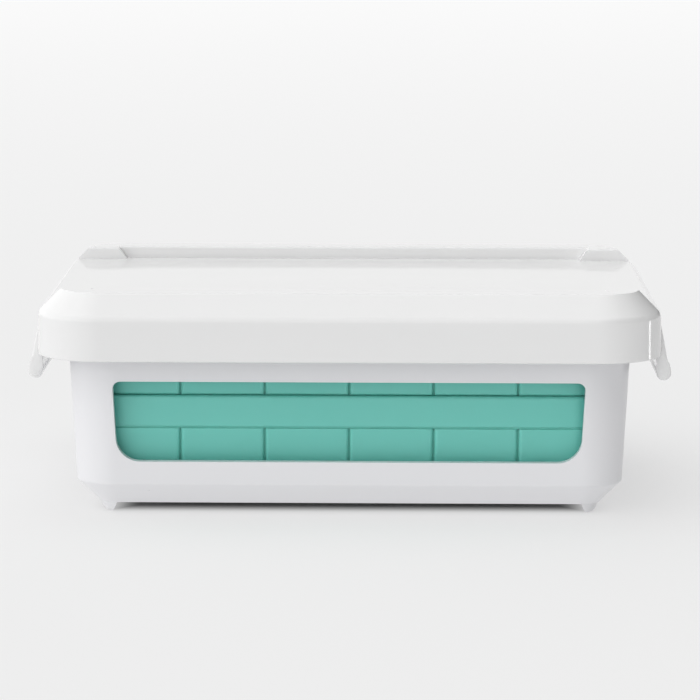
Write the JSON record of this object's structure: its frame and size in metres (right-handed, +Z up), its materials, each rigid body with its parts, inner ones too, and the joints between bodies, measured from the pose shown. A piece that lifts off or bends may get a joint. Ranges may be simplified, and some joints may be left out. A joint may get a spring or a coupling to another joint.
{
  "type": "ice cube tray with lid",
  "caption": "Lidded ice cube bin: an open-sided frame on corner feet holds stacked silicone cube trays under a ridged press-on lid with pull tabs.",
  "frame": {"origin": "middle of the footprint, on the surface the feet stand on", "axes": "+X along the long side with the windows, -Y towards the front window, +Z up"},
  "size_m": [0.1682, 0.1184, 0.0592],
  "materials": {
    "frame_plastic": "smooth white moulded plastic, soft gloss",
    "lid_plastic": "smooth white moulded plastic, polished top panel",
    "tray_silicone": "satin teal silicone"
  },
  "bodies": {
    "frame": {"frame": "frame_plastic"},
    "lower_tray": {"lower_tray": "tray_silicone"},
    "upper_tray": {"upper_tray": "tray_silicone"},
    "lid": {"lid": "lid_plastic"}
  },
  "joints": [
    {"name": "lower_tray_lift", "type": "slide", "parent": "frame", "child": "lower_tray", "axis": [0, 0, 1], "range_m": [0, 0.05]},
    {"name": "upper_tray_lift", "type": "slide", "parent": "lower_tray", "child": "upper_tray", "axis": [0, 0, 1], "range_m": [0, 0.03]},
    {"name": "lid_lift", "type": "slide", "parent": "upper_tray", "child": "lid", "axis": [0, 0, 1], "range_m": [0, 0.04]}
  ]
}
